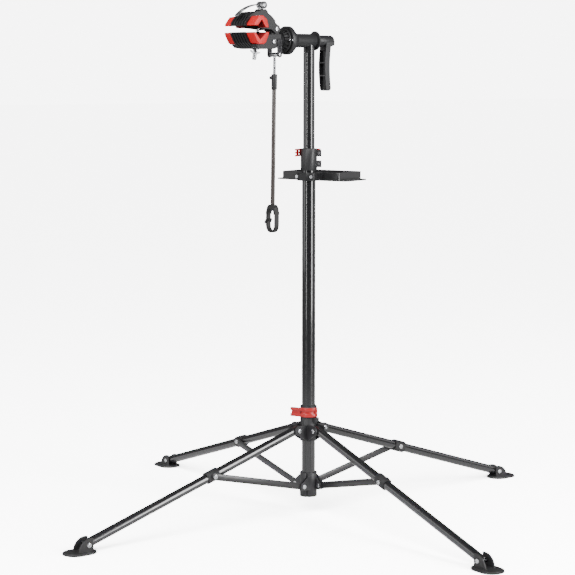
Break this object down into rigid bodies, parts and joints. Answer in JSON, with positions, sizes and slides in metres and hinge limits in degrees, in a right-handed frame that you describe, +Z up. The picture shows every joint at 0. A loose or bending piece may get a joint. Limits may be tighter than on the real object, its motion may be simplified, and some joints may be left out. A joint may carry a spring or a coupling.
{
  "type": "bike repair stand",
  "caption": "Folding bicycle repair stand with spread legs, telescopic mast, rotating quick-release clamp head, tool tray and handlebar holder.",
  "frame": {"origin": "on the floor under the mast axis", "axes": "+Z up the mast, clamp head towards -X, crank handle towards +X, legs along X and Y"},
  "size_m": [1.5924, 1.5924, 1.439],
  "materials": {
    "black_gloss": "gloss black powder coat",
    "brace_paint": "satin black paint",
    "black_nylon": "fine-textured black moulding",
    "bush_nylon": "smooth black nylon",
    "foot_rubber": "satin black moulding",
    "red_pad": "firm red rubber",
    "red_lever": "gloss red moulding",
    "zinc": "bright zinc plate",
    "chrome": "polished chrome",
    "steel": "turned steel",
    "tube_coat": "satin dark coat",
    "strap_rubber": "soft black rubber",
    "tray_plastic": "grained black moulding"
  },
  "bodies": {
    "mast": {"outer_tube": "black_gloss", "bottom_hub": "black_nylon", "hub_rivets": "zinc", "height_collar": "black_nylon", "collar_bush": "bush_nylon", "collar_bolts": "zinc"},
    "collar_lever": {"collar_lever": "red_lever"},
    "slider": {"base_slider": "black_nylon", "leg_bolts": "zinc"},
    "base_lever": {"base_lever": "red_lever"},
    "upper_mast": {"inner_tube": "black_gloss", "tube_guide": "bush_nylon", "head_tee": "black_nylon", "head_bushes": "bush_nylon", "seal_ring": "strap_rubber", "flange_screws": "zinc"},
    "head": {"head_shaft": "steel", "clutch_disc": "black_nylon", "lower_jaw": "black_nylon", "lower_pads": "red_pad", "jaw_bolts": "zinc", "holder_bracket": "chrome"},
    "crank": {"crank_handle": "black_nylon", "crank_nut": "steel"},
    "upper_jaw": {"upper_jaw": "black_nylon", "upper_pads": "red_pad"},
    "skewer_seat": {"skewer_seat": "steel", "jaw_spring": "chrome"},
    "skewer_rod": {"skewer_rod": "chrome"},
    "cam_lever": {"cam_lever": "chrome"},
    "wing_nut": {"wing_nut": "zinc"},
    "holder_arm": {"holder_rod": "chrome"},
    "holder_reach": {"holder_collar": "black_nylon", "holder_tube": "tube_coat", "strap_clip": "black_nylon", "holder_strap": "strap_rubber"},
    "holder_screw": {"holder_screw": "black_nylon"},
    "tray": {"tray_pan": "tray_plastic", "tray_clamp": "black_nylon", "tray_bolts": "zinc"},
    "leg_1": {"leg_tube_1": "black_gloss", "brace_clip_1": "black_nylon", "leg_pins_1": "zinc"},
    "brace_1": {"brace_bar_1": "brace_paint"},
    "foot_1": {"foot_plate_1": "foot_rubber"},
    "leg_2": {"leg_tube_2": "black_gloss", "brace_clip_2": "black_nylon", "leg_pins_2": "zinc"},
    "brace_2": {"brace_bar_2": "brace_paint"},
    "foot_2": {"foot_plate_2": "foot_rubber"},
    "leg_3": {"leg_tube_3": "black_gloss", "brace_clip_3": "black_nylon", "leg_pins_3": "zinc"},
    "brace_3": {"brace_bar_3": "brace_paint"},
    "foot_3": {"foot_plate_3": "foot_rubber"},
    "leg_4": {"leg_tube_4": "black_gloss", "brace_clip_4": "black_nylon", "leg_pins_4": "zinc"},
    "brace_4": {"brace_bar_4": "brace_paint"},
    "foot_4": {"foot_plate_4": "foot_rubber"}
  },
  "joints": [
    {"name": "base_slide", "type": "slide", "parent": "mast", "child": "slider", "axis": [0, 0, 1], "range_m": [0, 0.44342]},
    {"name": "leg_1_fold", "type": "hinge", "parent": "slider", "child": "leg_1", "pos_m": [0.045, 0, 0.242], "axis": [0, 1, 0], "range_deg": [0, 66.14]},
    {"name": "brace_1_fold", "type": "hinge", "parent": "leg_1", "child": "brace_1", "pos_m": [0.33242, 0, 0.1493], "axis": [0, 1, 0], "range_deg": [-134.84, 0]},
    {"name": "foot_1_tilt", "type": "hinge", "parent": "leg_1", "child": "foot_1", "pos_m": [0.73024, 0, 0.021], "axis": [0, 1, 0], "range_deg": [-66.14, 0]},
    {"name": "leg_2_fold", "type": "hinge", "parent": "slider", "child": "leg_2", "pos_m": [0, 0.045, 0.242], "axis": [-1, 0, 0], "range_deg": [0, 66.14]},
    {"name": "brace_2_fold", "type": "hinge", "parent": "leg_2", "child": "brace_2", "pos_m": [0, 0.33242, 0.1493], "axis": [-1, 0, 0], "range_deg": [-134.84, 0]},
    {"name": "foot_2_tilt", "type": "hinge", "parent": "leg_2", "child": "foot_2", "pos_m": [0, 0.73024, 0.021], "axis": [-1, 0, 0], "range_deg": [-66.14, 0]},
    {"name": "leg_3_fold", "type": "hinge", "parent": "slider", "child": "leg_3", "pos_m": [-0.045, 0, 0.242], "axis": [0, -1, 0], "range_deg": [0, 66.14]},
    {"name": "brace_3_fold", "type": "hinge", "parent": "leg_3", "child": "brace_3", "pos_m": [-0.33242, 0, 0.1493], "axis": [0, -1, 0], "range_deg": [-134.84, 0]},
    {"name": "foot_3_tilt", "type": "hinge", "parent": "leg_3", "child": "foot_3", "pos_m": [-0.73024, 0, 0.021], "axis": [0, -1, 0], "range_deg": [-66.14, 0]},
    {"name": "leg_4_fold", "type": "hinge", "parent": "slider", "child": "leg_4", "pos_m": [0, -0.045, 0.242], "axis": [1, 0, 0], "range_deg": [0, 66.14]},
    {"name": "brace_4_fold", "type": "hinge", "parent": "leg_4", "child": "brace_4", "pos_m": [0, -0.33242, 0.1493], "axis": [1, 0, 0], "range_deg": [-134.84, 0]},
    {"name": "foot_4_tilt", "type": "hinge", "parent": "leg_4", "child": "foot_4", "pos_m": [0, -0.73024, 0.021], "axis": [1, 0, 0], "range_deg": [-66.14, 0]},
    {"name": "base_lever_swing", "type": "hinge", "parent": "slider", "child": "base_lever", "pos_m": [0.00498, -0.02826, 0.292], "axis": [0, 0, 1], "range_deg": [0, 110]},
    {"name": "collar_lever_swing", "type": "hinge", "parent": "mast", "child": "collar_lever", "pos_m": [0.03173, -0.00414, 1.0255], "axis": [0, 0, -1], "range_deg": [0, 110]},
    {"name": "mast_height", "type": "slide", "parent": "mast", "child": "upper_mast", "axis": [0, 0, 1], "range_m": [-0.18, 0.45]},
    {"name": "head_spin", "type": "hinge", "parent": "upper_mast", "child": "head", "pos_m": [0, 0, 1.335], "axis": [1, 0, 0], "continuous": true},
    {"name": "crank_turn", "type": "hinge", "parent": "head", "child": "crank", "pos_m": [0.057, 0, 1.335], "axis": [1, 0, 0], "continuous": true},
    {"name": "tray_swivel", "type": "hinge", "parent": "mast", "child": "tray", "pos_m": [0, 0, 0.96], "axis": [0, 0, 1], "range_deg": [-100, 70]},
    {"name": "upper_jaw_open", "type": "hinge", "parent": "head", "child": "upper_jaw", "pos_m": [-0.125, 0, 1.365], "axis": [0, 1, 0], "range_deg": [-7, 14]},
    {"name": "skewer_swing", "type": "hinge", "parent": "head", "child": "skewer_seat", "pos_m": [-0.181, 0, 1.316], "axis": [0, 1, 0], "range_deg": [-4, 8]},
    {"name": "skewer_slide", "type": "slide", "parent": "skewer_seat", "child": "skewer_rod", "axis": [0.1743, 0, 0.9847], "range_m": [-0.006, 0.011]},
    {"name": "cam_flip", "type": "hinge", "parent": "skewer_rod", "child": "cam_lever", "pos_m": [-0.161, 0, 1.429], "axis": [0, 1, 0], "range_deg": [0, 150]},
    {"name": "wing_nut_spin", "type": "hinge", "parent": "skewer_seat", "child": "wing_nut", "pos_m": [-0.181, 0, 1.316], "axis": [0.1743, 0, 0.9847], "continuous": true},
    {"name": "holder_swing", "type": "hinge", "parent": "head", "child": "holder_arm", "pos_m": [-0.118, 0, 1.296], "axis": [0, 1, 0], "range_deg": [-8, 60]},
    {"name": "holder_slide", "type": "slide", "parent": "holder_arm", "child": "holder_reach", "axis": [-0.0175, 0, -0.9998], "range_m": [-0.03, 0.22]},
    {"name": "holder_screw_turn", "type": "hinge", "parent": "holder_reach", "child": "holder_screw", "pos_m": [-0.1191, 0, 1.23301], "axis": [-0.9998, 0, 0.0175], "continuous": true}
  ],
  "couplings": [
    {"joint": "leg_1_fold", "follows": "base_slide", "rad_per_m": 2.6027},
    {"joint": "brace_1_fold", "follows": "base_slide", "rad_per_m": -5.3067},
    {"joint": "foot_1_tilt", "follows": "base_slide", "rad_per_m": -2.6027},
    {"joint": "leg_2_fold", "follows": "base_slide", "rad_per_m": 2.6027},
    {"joint": "brace_2_fold", "follows": "base_slide", "rad_per_m": -5.3067},
    {"joint": "foot_2_tilt", "follows": "base_slide", "rad_per_m": -2.6027},
    {"joint": "leg_3_fold", "follows": "base_slide", "rad_per_m": 2.6027},
    {"joint": "brace_3_fold", "follows": "base_slide", "rad_per_m": -5.3067},
    {"joint": "foot_3_tilt", "follows": "base_slide", "rad_per_m": -2.6027},
    {"joint": "leg_4_fold", "follows": "base_slide", "rad_per_m": 2.6027},
    {"joint": "brace_4_fold", "follows": "base_slide", "rad_per_m": -5.3067},
    {"joint": "foot_4_tilt", "follows": "base_slide", "rad_per_m": -2.6027},
    {"joint": "skewer_swing", "follows": "upper_jaw_open", "ratio": 0.4953},
    {"joint": "skewer_slide", "follows": "upper_jaw_open", "m_per_rad": 0.040001}
  ]
}
